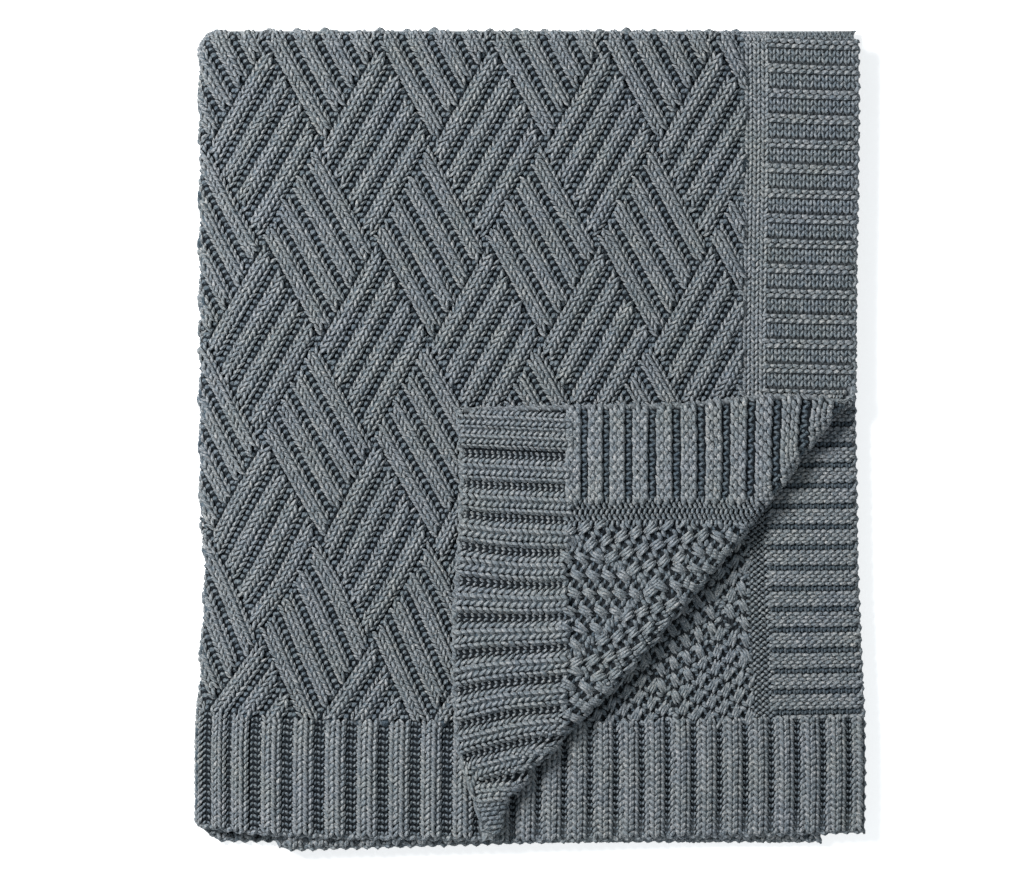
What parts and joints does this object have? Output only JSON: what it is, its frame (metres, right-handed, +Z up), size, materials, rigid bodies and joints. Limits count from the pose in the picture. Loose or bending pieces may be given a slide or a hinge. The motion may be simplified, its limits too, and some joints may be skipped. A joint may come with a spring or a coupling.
{
  "type": "knit throw blanket, folded in quarters with one corner turned back",
  "caption": "Chunky knit throw folded in quarters and laid flat, with a lattice of raised ribs, a ribbed hem, welted side borders and one corner turned back to show the reverse.",
  "frame": {"origin": "middle of the folded throw's footprint, on the surface it lies on", "axes": "+X from the lengthwise fold towards the welted side edge, +Y from the hem towards the crosswise fold, +Z up"},
  "size_m": [0.6374, 0.7816, 0.044],
  "materials": {
    "yarn": "matte slate grey plied yarn with a soft halo of fibres"
  },
  "bodies": {
    "root": {"knit_throw": "yarn"}
  },
  "joints": []
}
